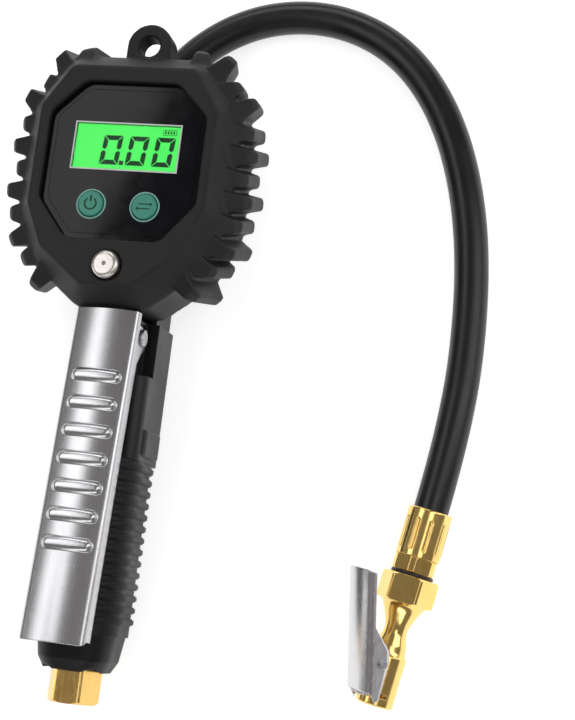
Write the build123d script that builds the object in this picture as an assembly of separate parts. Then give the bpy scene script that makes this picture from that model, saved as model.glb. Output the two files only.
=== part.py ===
from build123d import *
import math
import os

# Hand-held tyre inflator with a digital gauge, lying on its back on a flat surface.
# Units are millimetres. +X is to the right of the display, +Y runs up the handle to the gauge head,
# +Z rises from the surface (z = 0) to the display. X = 0 is the plane of symmetry of handle and head.
# "up" and "down" below are along Y; "front" is the display side (+Z) and "back" the resting side.

# ---------------------------------------------------------------- driving dimensions
running_gap = 0.05        # radial clearance of a shaft in its hole
seat_gap = 0.15           # clearance between fixed pieces that nest
free_gap = 0.3            # clearance between pieces that move past each other

inlet_reach = 188.0       # gauge centre to the mouth of the air inlet
loop_reach = 61.0         # gauge centre to the top of the hanging loop
gauge_y = (inlet_reach - loop_reach) / 2

# gauge head, levels along Z
head_back = 17.0          # back wall of the rear housing
head_split = 31.0         # joint between the two housings
face_z = 43.0             # display face
rim_z = 46.0              # front lip of the boot
case_wall = 2.2
case_floor = 2.0

# gauge head, outline half widths and heights about the gauge centre
case_half_w = 36.5
case_top = 42.5
case_shoulder = 25.0      # half width of the flat top
case_bottom = -45.0
case_foot = 11.0          # half width of the flat bottom
case_round = 7.0
case_slope_z = 35.0       # level where the housing starts to slope in towards its front
case_slope_in = 5.8
boot_wall = 4.0
boot_back = 15.4
boot_slope_z = 36.0       # level where the boot starts to slope in
boot_slope_in = 7.3
boot_window = 2.5         # bezel of the housing seen between boot and panel
boot_back_lip = 5.0

# tread ribs on the boot
rib_pitch = 8.6
rib_thickness = 4.4       # across its crest
rib_root = 8.8            # across its foot
rib_tall = 7.0
rib_short = 4.6
rib_lean = 16.0           # degrees, slant of a rib along its length

# hanging loop
loop_outer_r = 8.6
loop_hole_r = 4.0
loop_thickness = 9.0
loop_z = 29.0

# face panel and display
panel_half_w = 27.0
panel_top = 31.0
panel_bottom = -23.0
panel_corner = 10.5       # chamfer of the panel's four corners
panel_thickness = 1.8
lcd_w, lcd_h, lcd_y = 39.4, 17.0, 9.8
button_x, button_y = 10.1, -12.2
button_r = 4.7
button_rise = 0.9
button_travel = 0.6
bleed_y = -35.0
bleed_button_r = 5.1

# handle
handle_z = 17.5           # axis of the air passage and the inlet
handle_w = 30.0
handle_front = 30.0
handle_top = -50.6
grip_top = -101.0
grip_bottom = 11.5 - inlet_reach
grip_w, grip_d = 30.6, 32.6   # between the ribs
grip_round = 11.5
grip_rib = 1.2
grip_rib_pitch = 4.2
core_w, core_d = 21.0, 22.0
neck_w = 24.0             # part of the valve body behind the gauge head
neck_top = -20.0
air_bore_r = 3.0

# lever
lever_above = 7.8         # pivot to the lever's upper edge
lever_length = 118.5
lever_w = 24.0
lever_crown = 2.0         # rise of its convex front
lever_sheet = 1.5
lever_flange = 6.1
lever_open = 5.2          # degrees away from the handle at rest
lever_top_z = 40.0
pivot_y, pivot_z = -57.5, 31.0
pivot_r = 2.0
ear_r = 5.6
lug_half_w = lever_w / 2 - lever_sheet - free_gap
lug_r = 4.8
finger_ribs = 7
finger_rib_pitch = 10.0
finger_rib_first = 25.0   # from the top edge of the lever to the first rib
finger_rib_w, finger_rib_h = 18.5, 4.4

# valve plunger under the lever
plunger_y = -80.0
plunger_r = 2.5
chamber_r = 5.0
seat_z = 20.5             # valve seat in the chamber
orifice_r = 3.2
outlet_z, outlet_r = 23.1, 2.2
riser_y, riser_r = -68.0, 3.0
lower_z = 8.3             # air passage behind the gauge head
bush_r = 4.0

# inlet nut: 1/4 inch female pipe thread in a 17 mm hexagon
inlet_flats = 17.0
inlet_bore_r = 5.7
inlet_bore_depth = 12.0
inlet_screen_r = 5.1
inlet_length = 13.0
inlet_chamfer = 0.8

# hose and its fittings
hose_r = 6.25
hose_x = -6.0             # where the hose leaves the back of the gauge
hose_exit_y = 6.0         # start of the hose, inside its first ferrule
hose_grip = 3.0           # stretch of hose inside the mouth of each ferrule
hose_floor_z = hose_r + 0.05
ferrule_r = 7.9
ferrule_z = 8.3
head_ferrule = 21.0
chuck_ferrule = 17.0
fitting_flats = 14.0
fitting_length = 7.8
fitting_stub_r = 3.9
hose_bore_r = 2.2

# chuck, measured along its own axis from the mouth of its ferrule
chuck_x, chuck_y = 118.9, -106.9
chuck_z = 9.1
chuck_turn = 10.8         # degrees, axis off -Y towards -X
collar_flats = 14.5
collar_length = 5.5
chuck_ring = 1.2
chuck_flats = 18.0
chuck_hex_length = 9.6
chuck_waist_r = 4.1
chuck_tip_r = 6.6
chuck_inner_r = 2.4
chuck_length = 46.0       # near end of the large hexagon to the mouth
mouth_r = 4.1
mouth_depth = 9.0
clip_pin_r = 1.0
clip_pin_out = 6.6        # pin to the chuck's axis
clip_out = 12.9           # thumb plate to the chuck's axis, beside the pin
clip_roll = 47.0          # degrees, clip up from the surface
clip_pin_back = 14.5      # pin to the mouth
clip_w = 13.0
clip_sheet = 0.9
clip_reach = 29.0         # pin to the end of the thumb plate
clip_angle = 19.3         # degrees, thumb plate off the chuck's axis

os.makedirs("parts", exist_ok=True)


# ---------------------------------------------------------------- small helpers
def block(x0, x1, y0, y1, z0, z1):
    """Box between two corners, Y measured from the gauge centre."""
    centre = ((x0 + x1) / 2, (y0 + y1) / 2 + gauge_y, (z0 + z1) / 2)
    return Pos(*centre) * Box(x1 - x0, y1 - y0, z1 - z0)


def post(radius, x, y, z0, z1):
    """Cylinder along Z, Y measured from the gauge centre."""
    return Pos(x, y + gauge_y, (z0 + z1) / 2) * Cylinder(radius, z1 - z0)


def along_y(radius, y0, y1, x=0.0, z=handle_z):
    """Cylinder along Y, Y measured from the gauge centre."""
    return Pos(x, (y0 + y1) / 2 + gauge_y, z) * Rot(90, 0, 0) * Cylinder(radius, abs(y1 - y0))


def along_x(radius, x0, x1, y, z):
    """Cylinder along X, Y measured from the gauge centre."""
    return Pos((x0 + x1) / 2, y + gauge_y, z) * Rot(0, 90, 0) * Cylinder(radius, x1 - x0)


def mirrored(points):
    """Closed outline from its right half, listed from bottom to top."""
    return points + [(-x, y) for x, y in reversed(points)]


def case_outline(grow=0.0):
    """Rounded octagon of the gauge head, grown outwards by a distance."""
    right = [
        (case_foot, case_bottom),
        (case_half_w - 7.5, case_bottom + 14.0),
        (case_half_w, case_bottom + 31.0),
        (case_half_w, case_top - 18.0),
        (case_shoulder, case_top),
    ]
    face = make_face(Polyline(*mirrored(right), close=True))
    if grow:
        face = offset(face, grow, kind=Kind.INTERSECTION)
    return fillet(face.vertices(), max(2.5, case_round + grow))


def panel_outline(grow=0.0):
    """Octagon of the face panel, grown outwards by a distance."""
    right = [
        (panel_half_w - panel_corner, panel_bottom),
        (panel_half_w, panel_bottom + panel_corner + 2.5),
        (panel_half_w, panel_top - panel_corner),
        (panel_half_w - panel_corner, panel_top),
    ]
    face = make_face(Polyline(*mirrored(right), close=True))
    face = fillet(face.vertices(), 3.0)
    return offset(face, grow) if grow else face


def raised(face, z0, z1):
    """Extrusion of a head outline from z0 to z1."""
    return Pos(0, gauge_y, z0) * extrude(face, z1 - z0)


def sloped(low, high, z0, z1):
    """Straight-sided loft from one head outline to another."""
    faces = [Pos(0, gauge_y, z0) * low, Pos(0, gauge_y, z1) * high]
    return loft(faces, ruled=True)


def slab(width, depth, radius, y0, y1, z=handle_z):
    """Rounded rectangular bar along Y, centred on X = 0 and on height z."""
    section = Plane.XZ * RectangleRounded(width, depth, radius)
    return Pos(0, y1 + gauge_y, z) * extrude(section, y1 - y0)


def cross_section(width, depth, radius, y):
    """Rounded rectangle across the handle at y."""
    return Pos(0, y + gauge_y, handle_z) * (Plane.XZ * RectangleRounded(width, depth, radius))


def helical_spring(radius, wire, pitch, turns, axis_plane):
    """Compression spring wound along the plane's normal."""
    path = Helix(pitch, pitch * turns, radius)
    profile = Plane(path @ 0, z_dir=path % 0) * Circle(wire)
    return axis_plane * sweep(profile, path=path, is_frenet=True)


# ---------------------------------------------------------------- gauge head
def tread_rib(height):
    """One rib in its own frame: X outwards from the boot, Y up towards the display, Z across."""
    length = boot_slope_z - boot_back + 3.0
    side = Polyline(
        (-3.5, 0.6),
        (height - 1.2, 0.6),
        (height, 1.8),
        (height, length - 4.5),
        (height - 2.2, length - 1.0),
        (-3.5, length + 1.5),
        close=True,
    )
    half_root, half_tip = rib_root / 2, rib_thickness / 2
    across = Polyline(
        (-3.5, -half_root),
        (height, -half_tip),
        (height, half_tip),
        (-3.5, half_root),
        close=True,
    )
    wedge = Pos(0, -1, 0) * extrude(Plane.XZ * make_face(across), -length - 4)
    bar = extrude(make_face(side), half_root, both=True) & wedge
    bar = chamfer(bar.edges().filter_by(Axis.Y).sort_by(Axis.X)[-2:], 0.7)
    return Pos(0, length / 2, 0) * Rot(rib_lean, 0, 0) * Pos(0, -length / 2, 0) * bar


def rib_feet():
    """(x, y, outward angle) of the ribs on the right half, evenly spaced along the outline."""
    edge = case_outline(boot_wall - 0.4).face().outer_wire()
    steps = 1440
    feet = []
    for k in range(steps):
        at = edge @ (k / steps)
        if at.X < loop_outer_r + 4.0 or at.Y < case_bottom + 9.0:
            continue
        along = edge % (k / steps)
        turn = math.degrees(math.atan2(-along.X, along.Y))
        if along.Y * at.X - along.X * at.Y < 0:
            turn += 180
        feet.append((at.X, at.Y, turn))
    feet.sort(key=lambda foot: math.atan2(foot[1], foot[0]))
    chosen = feet[:1]
    for foot in feet:
        if math.dist(foot[:2], chosen[-1][:2]) >= rib_pitch:
            chosen.append(foot)
    return chosen


def boot():
    """Rubber boot with its tread ribs, sloped front shoulder, window and hanging loop."""
    outer = case_outline(boot_wall)
    rim = case_outline(boot_wall - boot_slope_in)
    body = raised(outer, boot_back, boot_slope_z) + sloped(outer, rim, boot_slope_z, rim_z)
    for number, (x, y, turn) in enumerate(rib_feet()):
        rib = tread_rib(rib_tall if number % 2 == 0 else rib_short)
        rib = Pos(x, y + gauge_y, boot_back) * Rot(0, 0, turn) * Rot(90, 0, 0) * rib
        body += [rib, mirror(rib, Plane.YZ)]
    loop_y = loop_reach - loop_outer_r
    loop_back = loop_z - loop_thickness / 2
    tab = post(loop_outer_r, 0, loop_y, loop_back, loop_back + loop_thickness)
    tab += block(-loop_outer_r, loop_outer_r, case_top, loop_y, loop_back, loop_back + loop_thickness)
    body += tab
    body -= post(loop_hole_r, 0, loop_y, loop_back - 1, loop_back + loop_thickness + 1)
    inside = case_outline(seat_gap)
    inside_front = case_outline(seat_gap - case_slope_in)
    body -= raised(inside, head_back - seat_gap, case_slope_z)
    body -= sloped(inside, inside_front, case_slope_z, face_z + seat_gap)
    body -= raised(panel_outline(boot_window), face_z - 1, rim_z + 1)
    body -= raised(case_outline(-boot_back_lip), boot_back - 1, head_back + 1)
    body -= block(-neck_w / 2 - 1, neck_w / 2 + 1, case_bottom - 9, case_bottom + 12, 0, head_back)
    body -= post(bleed_button_r + free_gap, 0, bleed_y, face_z - 1, rim_z + 1)
    return body


battery_r, battery_length = 5.25, 44.5
battery_y = (12.6, 23.8)
battery_z = head_back + case_floor + battery_r + 0.2
bay_x, bay_y0, bay_y1 = 25.0, 5.6, 30.8
screw_posts = [(24.0, 33.5), (-24.0, 33.5), (27.0, -20.0), (-27.0, -20.0)]
head_screws = [(8.4, -39.5), (-8.4, -39.5)]
sensor_x, sensor_y = 7.5, -24.5
turret_r = 6.8
turret_top = 38.0
board_z = 31.6
board_thickness = 1.6


def rear_housing():
    """Back shell of the gauge with the battery bay and the screw posts."""
    shell = raised(case_outline(), head_back, head_split)
    shell -= raised(case_outline(-case_wall), head_back + case_floor, head_split + 1)
    shell += block(-bay_x - 1.5, bay_x + 1.5, bay_y0 - 1.5, bay_y1 + 1.5, head_back + 1, head_split - 1.5)
    shell -= block(-4.2, 4.2, bay_y1 - 1, bay_y1 + 1.35, head_back + 0.8, head_back + 1.85)
    for x, y in screw_posts:
        shell += post(3.2, x, y, head_back + 1, head_split - seat_gap)
    for x, y in head_screws:
        shell += post(2.9, x, y, head_back + 1, head_split - 4)
    shell -= block(-bay_x, bay_x, bay_y0, bay_y1, head_back - 1, head_split)
    for x, y in screw_posts:
        shell -= post(1.35, x, y, head_back - 1, head_split + 1)
        shell -= post(2.4, x, y, head_back - 1, head_back + 2.6)
    for x, y in head_screws:
        shell -= post(1.3, x, y, head_back - 1, head_split - 6)
    shell -= post(turret_r + seat_gap, 0, bleed_y, head_back - 1, head_split + 1)
    shell -= post(2.2, sensor_x, sensor_y, head_back - 1, head_back + 3)
    return shell


def front_housing():
    """Front shell with the recess of the face panel and blind screw posts."""
    wide, front = case_outline(), case_outline(-case_slope_in)
    shell = raised(wide, head_split, case_slope_z) + sloped(wide, front, case_slope_z, face_z)
    hollow, hollow_front = case_outline(-case_wall), case_outline(-case_wall - case_slope_in)
    top = face_z - panel_thickness - 1.4
    shell -= raised(hollow, head_split - 1, case_slope_z)
    shell -= sloped(hollow, hollow_front, case_slope_z, top)
    for x, y in screw_posts:
        pillar = post(3.2, x, y, head_split + seat_gap, face_z - 3)
        shell += pillar & (raised(wide, head_split, case_slope_z) + sloped(wide, front, case_slope_z, face_z))
        shell -= post(1.1, x, y, head_split - 1, head_split + 5.0)
    shell -= raised(panel_outline(seat_gap), face_z - panel_thickness, face_z + 1)
    shell -= block(-lcd_w / 2 - 1, lcd_w / 2 + 1, lcd_y - lcd_h / 2 - 1, lcd_y + lcd_h / 2 + 1, 30, face_z)
    for x in (-button_x, button_x):
        shell -= post(button_r + free_gap, x, button_y, 30, face_z)
    shell -= post(turret_r + seat_gap, 0, bleed_y, 30, turret_top + 0.5)
    shell -= post(bleed_button_r + free_gap, 0, bleed_y, 30, face_z + 1)
    return shell


def face_panel():
    """Glossy front overlay with the display window and the two button holes."""
    plate = raised(panel_outline(), face_z - panel_thickness, face_z)
    plate -= block(-lcd_w / 2, lcd_w / 2, lcd_y - lcd_h / 2, lcd_y + lcd_h / 2, 40, face_z + 1)
    for x in (-button_x, button_x):
        plate -= post(button_r + free_gap, x, button_y, 40, face_z + 1)
    return plate


def lcd_window():
    half_w, half_h = lcd_w / 2 - 0.1, lcd_h / 2 - 0.1
    return block(-half_w, half_w, lcd_y - half_h, lcd_y + half_h, face_z - 1.0, face_z - 0.05)


def lcd_panel():
    half_w, half_h = lcd_w / 2 - 0.1, lcd_h / 2 - 0.1
    return block(-half_w, half_w, lcd_y - half_h, lcd_y + half_h, face_z - 3.2, face_z - 1.1)


def backlight():
    half_w, half_h = lcd_w / 2 + 0.6, lcd_h / 2 + 0.6
    top = face_z - 3.3
    return block(-half_w, half_w, lcd_y - half_h, lcd_y + half_h, board_z + board_thickness + 0.1, top)


def circuit_board():
    board = block(-26, 26, -24, 29, board_z, board_z + board_thickness)
    board -= post(turret_r + 1.2, 0, bleed_y, board_z - 1, board_z + 3)
    for x, y in screw_posts:
        board -= post(3.8, x, y, board_z - 1, board_z + 3)
    return board


def chips():
    """Controller and small components on the back of the board."""
    top = board_z - 0.05
    group = [block(-18, -8, -12, -2, top - 1.4, top), block(-4, 1, -9, -4, top - 1.0, top)]
    for k in range(5):
        group.append(block(4 + 3.2 * k, 5.8 + 3.2 * k, -4, -1, top - 0.9, top))
    return Compound(children=group)


def tact_switches():
    """Two push switches under the keys."""
    base = board_z + board_thickness + 0.05
    group = []
    for x in (-button_x, button_x):
        group.append(block(x - 3, x + 3, button_y - 3, button_y + 3, base, base + 2.6))
    return Compound(children=group)


def key(x):
    """Round key cap with a stem that reaches its switch."""
    top = face_z + button_rise
    floor = board_z + board_thickness + 2.65 + button_travel
    cap = post(button_r, x, button_y, face_z - 2.6, top)
    cap = fillet(cap.edges().sort_by(Axis.Z)[-1:], 0.5)
    return cap + post(1.8, x, button_y, floor, face_z - 2.6)


def pressure_sensor():
    can = post(4.6, sensor_x, sensor_y + 2, board_z - 8.5, board_z - 0.1)
    return can + post(1.5, sensor_x, sensor_y, head_back - 2.4, board_z - 8.0)


def sensor_seal():
    return Pos(sensor_x, sensor_y + gauge_y, head_back - 1.3) * Torus(1.5 + 0.45, 0.42)


def batteries():
    group = []
    for number, y in enumerate(battery_y):
        turn = 1 if number == 0 else -1
        cell = along_x(battery_r, -battery_length / 2, battery_length / 2 - 1.0, y, battery_z)
        nub = along_x(1.9, battery_length / 2 - 1.0, battery_length / 2, y, battery_z)
        both = fillet(cell.edges(), 0.5) + nub
        group.append(both if turn == 1 else mirror(both, Plane.YZ))
    return Compound(children=group)


def battery_contacts():
    """Spring and plate contacts at both ends of the bay."""
    group = []
    for number, y in enumerate(battery_y):
        side = 1 if number == 0 else -1
        for end in (-1, 1):
            x = side * end * (bay_x - 0.3)
            plate = (min(x, x - 0.4 * side * end), max(x, x - 0.4 * side * end))
            piece = block(plate[0], plate[1], y - 4, y + 4, battery_z - 4, battery_z + 4)
            if end == -1:
                for ring, radius in ((0.9, 3.4), (1.6, 2.6)):
                    hoop = Pos(x - side * end * ring, y + gauge_y, battery_z) * Rot(0, 90, 0)
                    piece += hoop * Torus(radius, 0.36)
                reach = (x - 0.4 * side * end, x - 1.9 * side * end)
                piece += along_x(0.3, min(reach), max(reach), y + 3.0, battery_z)
            group.append(piece)
    return Compound(children=group)


def battery_door():
    door = block(-bay_x + 0.2, bay_x - 0.2, bay_y0 + 0.2, bay_y1 - 0.2, head_back, head_back + 1.8)
    door += block(-4, 4, bay_y1 - 1, bay_y1 + 1.2, head_back + 0.95, head_back + 1.7)
    for k in range(5):
        door -= block(-15, 15, 10 + 3.2 * k, 11 + 3.2 * k, head_back - 1, head_back + 0.5)
    door -= post(1.3, 0, bay_y0 + 2.6, head_back - 1, head_back + 3)
    door -= post(2.4, 0, bay_y0 + 2.6, head_back - 1, head_back + 1.0)
    return door


def pan_screw(x, y, z_head, length, shank_r, head_r, head_h):
    """Cross-head screw that enters from the back, its head's outer face at z_head."""
    screw = post(head_r, x, y, z_head, z_head + head_h) + post(shank_r, x, y, z_head, z_head + length)
    slot = 0.45
    screw -= block(x - head_r * 0.6, x + head_r * 0.6, y - slot, y + slot, z_head - 1, z_head + 0.8)
    screw -= block(x - slot, x + slot, y - head_r * 0.6, y + head_r * 0.6, z_head - 1, z_head + 0.8)
    return screw


def housing_screws():
    group = [pan_screw(x, y, head_back + 0.6, 16.5, 1.08, 2.2, 1.8) for x, y in screw_posts]
    return Compound(children=group)


def battery_screw():
    return pan_screw(0, bay_y0 + 2.6, head_back + 0.1, 1.75, 1.15, 2.2, 0.8)


def head_mount_screws():
    group = [pan_screw(x, y, 2.0, head_back + 6.0, 1.25, 2.4, 2.0) for x, y in head_screws]
    return Compound(children=group)


# ---------------------------------------------------------------- handle and air passages
def pivot_lug():
    """Lug between the lever's two ears."""
    lug = block(-lug_half_w, lug_half_w, pivot_y - lug_r, pivot_y + lug_r, 22, pivot_z)
    return lug + along_x(lug_r, -lug_half_w, lug_half_w, pivot_y, pivot_z)


def valve_body():
    """Moulded handle body: neck plate behind the head, turret, pivot lug and core of the grip."""
    body = slab(handle_w, handle_front, 5.0, grip_top, handle_top, handle_front / 2)
    for side in (-1, 1):
        near, far = sorted((side * lug_half_w, side * (handle_w / 2 + 1)))
        body -= block(near, far, pivot_y - ear_r - 7.5, handle_top + 1, 22, 31)
    body += pivot_lug()
    collar = slab(handle_w + 2.4, handle_front - 6, 5.0, grip_top + 2, grip_top + 12, handle_front / 2)
    body += chamfer(collar.edges().filter_by(Axis.Y, reverse=True), 0.8)
    body += block(-neck_w / 2, neck_w / 2, handle_top - 2, neck_top, 0, head_back - seat_gap)
    body += slab(core_w, core_d, 5.0, grip_bottom + 1.5, grip_top + 1)
    body += post(turret_r, 0, bleed_y, head_back - 2, turret_top)
    # air passages
    body -= along_y(inlet_bore_r + 0.1, grip_bottom, grip_bottom + 13)
    body -= along_y(air_bore_r, grip_bottom + 10, plunger_y)
    body -= post(chamber_r, 0, plunger_y, -1, seat_z)
    body -= post(orifice_r, 0, plunger_y, seat_z - 1, 25.5)
    body -= post(bush_r, 0, plunger_y, 25.5, 31)
    body -= along_y(outlet_r, plunger_y, riser_y, 0, outlet_z)
    body -= post(riser_r, 0, riser_y, -1, outlet_z)
    fork_y = bleed_y + 3.5
    body -= along_y(air_bore_r, riser_y, fork_y, 0, lower_z)
    body -= along_x(hose_bore_r, hose_x, sensor_x, fork_y, lower_z)
    body -= along_y(hose_bore_r, fork_y, neck_top, hose_x, lower_z)
    body -= along_y(1.2, fork_y, sensor_y, sensor_x, lower_z)
    body -= along_y(fitting_stub_r + running_gap, neck_top - 7, neck_top + 1, hose_x, lower_z)
    # bleed valve bore, sensor bore, pin hole and blind screw holes
    body -= post(2.6, 0, bleed_y, lower_z, 16)
    body -= post(1.6, 0, bleed_y, 15, 20)
    body -= post(3.6, 0, bleed_y, 19, turret_top + 1)
    body -= along_x(pivot_r + running_gap, -20, 20, pivot_y, pivot_z)
    body -= post(1.2, sensor_x, sensor_y, lower_z, 15)
    body -= post(1.7, sensor_x, sensor_y, 14.2, head_back)
    body -= post(2.45, sensor_x, sensor_y, head_back - 1.9, head_back)
    for x, y in head_screws:
        body -= post(1.45, x, y, -1, head_back)
        body -= post(2.7, x, y, -1, 4.2)
    return body


def grip_sleeve():
    """Black rubber sleeve with a rib every few millimetres and a tapered foot."""
    bottom = grip_bottom
    foot = 13.0
    sleeve = slab(grip_w, grip_d, grip_round, bottom + foot, grip_top)
    low = cross_section(22.5, 23.5, 9.0, bottom)
    mid = cross_section(26.5, 28.0, 10.0, bottom + 4)
    high = cross_section(29.0, 31.0, 11.0, bottom + foot)
    sleeve += loft([low, mid], ruled=True) + loft([mid, high], ruled=True)
    for k in range(14):
        at = grip_top - 1.2 - grip_rib_pitch * k
        for rise, inset in ((0.6 * grip_rib, 0.0), (grip_rib, 0.45)):
            width, depth = grip_w + 2 * rise, grip_d + 2 * rise
            sleeve += slab(width, depth, grip_round + rise, at - 2.4 + inset, at - inset)
    sleeve -= slab(core_w + 2 * seat_gap, core_d + 2 * seat_gap, 5.0 + seat_gap, bottom - 1, grip_top + 1)
    return sleeve


def inlet_nut():
    """Brass hexagon nut with a tapped bore and a stub that screws into the body."""
    mouth = -inlet_reach
    section = Plane.XZ * RegularPolygon(inlet_flats / 2, 6, major_radius=False)
    nut = Pos(0, mouth + inlet_length + gauge_y, handle_z) * extrude(section, inlet_length)
    shape = along_y(inlet_flats / math.sqrt(3) - 0.35, mouth, mouth + inlet_length)
    nut &= chamfer(shape.edges(), 0.9)
    nut += along_y(8.2, mouth + inlet_length, grip_bottom + 1.4)
    nut += along_y(inlet_bore_r + 0.05, mouth + 6, grip_bottom + 12.5)
    nut -= along_y(inlet_bore_r, mouth - 1, mouth + inlet_bore_depth)
    nut -= along_y(inlet_screen_r + 0.1, mouth, mouth + inlet_bore_depth + 1.4)
    nut -= along_y(3.2, mouth, 0)
    cone = Cone(inlet_bore_r + inlet_chamfer, inlet_bore_r, inlet_chamfer)
    nut -= Pos(0, mouth + inlet_chamfer / 2 + gauge_y, handle_z) * Rot(-90, 0, 0) * cone
    return nut


def inlet_screen():
    """Woven filter disc held at the bottom of the inlet bore."""
    at = -inlet_reach + inlet_bore_depth + 1.3
    disc = along_y(inlet_screen_r, at - 1.2, at)
    ring = disc - along_y(4.0, at - 2, at + 1)
    for k in range(-3, 4):
        ring += block(-4.6, 4.6, at - 0.8, at - 0.5, handle_z + 1.2 * k - 0.25, handle_z + 1.2 * k + 0.25)
        ring += block(1.2 * k - 0.25, 1.2 * k + 0.25, at - 0.8, at - 0.5, handle_z - 4.6, handle_z + 4.6)
    return ring & disc


# ---------------------------------------------------------------- lever and its valve
def arch(width, top, bottom, crown, corner):
    """Cross-section of the lever in X and height: convex top over two straight sides."""
    half = width / 2
    rise = top - crown
    bend = 0.30 * corner
    edges = [
        Line((-half, bottom), (half, bottom)),
        Line((half, bottom), (half, rise - corner)),
        ThreePointArc((half, rise - corner), (half - bend, rise - bend), (half - corner, rise + 0.25)),
        ThreePointArc((half - corner, rise + 0.25), (0, top), (-half + corner, rise + 0.25)),
        ThreePointArc((-half + corner, rise + 0.25), (-half + bend, rise - bend), (-half, rise - corner)),
        Line((-half, rise - corner), (-half, bottom)),
    ]
    return make_face(edges)


def lever_bar(width, top, bottom, crown, corner, y0, y1):
    """Extrusion of the arch along Y in the lever's own frame (pivot at the origin)."""
    section = Plane.XZ * arch(width, top, bottom, crown, corner)
    return Pos(0, y1, 0) * extrude(section, y1 - y0)


def lever():
    """Pressed steel lever: folded channel, seven finger ribs, two ears round the pin."""
    top = lever_top_z - pivot_z
    end = lever_above - lever_length
    bar = lever_bar(lever_w, top, top - lever_flange - 1.5, lever_crown, 2.6, end, lever_above)
    plan = Pos(0, lever_above - lever_length / 2, 0) * Box(lever_w, lever_length, 60)
    plan = fillet(plan.edges().filter_by(Axis.Z).sort_by(Axis.Y)[:2], 5.5)
    bar &= plan
    hollow = lever_bar(
        lever_w - 2 * lever_sheet, top - lever_sheet, -60, lever_crown - 0.2, 1.6, end + lever_sheet, 60
    )
    inner_plan = Pos(0, end + lever_sheet + 60, 0) * Box(lever_w - 2 * lever_sheet, 120, 80)
    inner_plan = fillet(inner_plan.edges().filter_by(Axis.Z).sort_by(Axis.Y)[:2], 4.0)
    side_trim = Pos(0, lever_above, -30) * Box(40, 9.0, 72)
    for side in (-1, 1):
        ear = Pos(side * (lever_w / 2 - lever_sheet / 2), 0, 0) * Rot(0, 90, 0) * Cylinder(ear_r, lever_sheet)
        web = Pos(side * (lever_w / 2 - lever_sheet / 2), -5.5, 1.2) * Box(lever_sheet, 11, 2 * 2.6)
        bar += ear + web
    bar -= hollow & inner_plan
    bar -= side_trim
    for k in range(finger_ribs):
        y = lever_above - finger_rib_first - finger_rib_pitch * k
        pad = Pos(0, y, top - 0.35) * Box(finger_rib_w, finger_rib_h, 3.2)
        pad = fillet(pad.edges().filter_by(Axis.Z), finger_rib_h / 2 - 0.05)
        crest = lever_bar(lever_w + 6, top + 1.1, top - 3, lever_crown, 1.5, y - 4, y + 4)
        pad &= crest
        bar += fillet(pad.edges().group_by(Axis.Z)[-1], 0.5)
    bar -= Rot(0, 90, 0) * Cylinder(pivot_r + running_gap, 60)
    return Pos(0, pivot_y + gauge_y, pivot_z) * Rot(-lever_open, 0, 0) * bar


def lever_pin():
    """Headed pivot pin with a spread end."""
    pin = along_x(pivot_r, -lever_w / 2 - 0.2, lever_w / 2 + 0.2, pivot_y, pivot_z)
    for side in (-1, 1):
        near, far = sorted((side * (lever_w / 2 + 0.15), side * (lever_w / 2 + 1.1)))
        head = along_x(3.2, near, far, pivot_y, pivot_z)
        pin += fillet(head.edges().sort_by(Axis.X)[-1 if side == 1 else 0], 0.6)
    return pin


def plunger_top():
    """Height where the lever's underside meets the plunger."""
    under = lever_top_z - pivot_z - lever_sheet
    tilt = math.radians(lever_open)
    reach = (pivot_y - plunger_y - under * math.sin(tilt)) / math.cos(tilt)
    return pivot_z + under * math.cos(tilt) + reach * math.sin(tilt)


def valve_plunger():
    """Push rod with its valve head and a tail that guides the spring."""
    tip = plunger_top() - 0.25
    rod = post(plunger_r, 0, plunger_y, 25.6, tip)
    rod = fillet(rod.edges().sort_by(Axis.Z)[-1:], 1.6)
    rod += post(1.5, 0, plunger_y, 18, 26)
    rod += post(4.3, 0, plunger_y, 16.4, 19.2)
    return rod + post(1.9, 0, plunger_y, 10.5, 17)


def valve_disc():
    """Rubber disc on the valve head."""
    disc = post(4.3, 0, plunger_y, 19.25, seat_z - 0.05)
    return disc - post(1.55, 0, plunger_y, 19, 21)


def plunger_seal():
    return Pos(0, plunger_y + gauge_y, 26.4) * Torus(plunger_r + 0.05 + 0.66, 0.66)


def plunger_bush():
    """Brass guide bush pressed in over the seal."""
    bush = post(bush_r - running_gap, 0, plunger_y, 27.2, 30.1)
    bush += post(5.2, 0, plunger_y, 30.05, 30.9)
    return bush - post(plunger_r + running_gap, 0, plunger_y, 26, 32)


def plunger_spring():
    base = Plane(origin=(0, plunger_y + gauge_y, 5.6))
    return helical_spring(3.2, 0.45, 2.05, 5.0, base)


def passage_plugs():
    """Two socket-head plugs that close the drilled passages from the back."""
    plugs = []
    for y, radius, height in ((plunger_y, chamber_r, 4.6), (riser_y, riser_r, 3.2)):
        plug = post(radius - running_gap, 0, y, 0.4, height + 0.4)
        socket = Plane.XY * RegularPolygon(radius * 0.4, 6, major_radius=False)
        plug -= Pos(0, y + gauge_y, 0) * extrude(socket, 2.4)
        plugs.append(plug)
    return Compound(children=plugs)


# ---------------------------------------------------------------- bleed valve
def bleed_button():
    """Domed push button with a centre hole."""
    top = face_z + 5.9
    base = top - 6.4
    cap = post(bleed_button_r, 0, bleed_y, base, top)
    cap = fillet(cap.edges().sort_by(Axis.Z)[-1:], 1.8)
    cap -= post(0.7, 0, bleed_y, top - 1.5, top + 1)
    return cap + post(2.2, 0, bleed_y, base - 1.0, base) - post(1.3, 0, bleed_y, base - 2, base + 2)


def bleed_stem():
    """Stem from the button down to the poppet at the bottom of the turret."""
    top = face_z + 5.9 - 4.5
    stem = post(1.25, 0, bleed_y, 14, top) + post(2.6, 0, bleed_y, 32.0, 32.9)
    return stem + post(2.2, 0, bleed_y, 12.6, 14.8)


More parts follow.
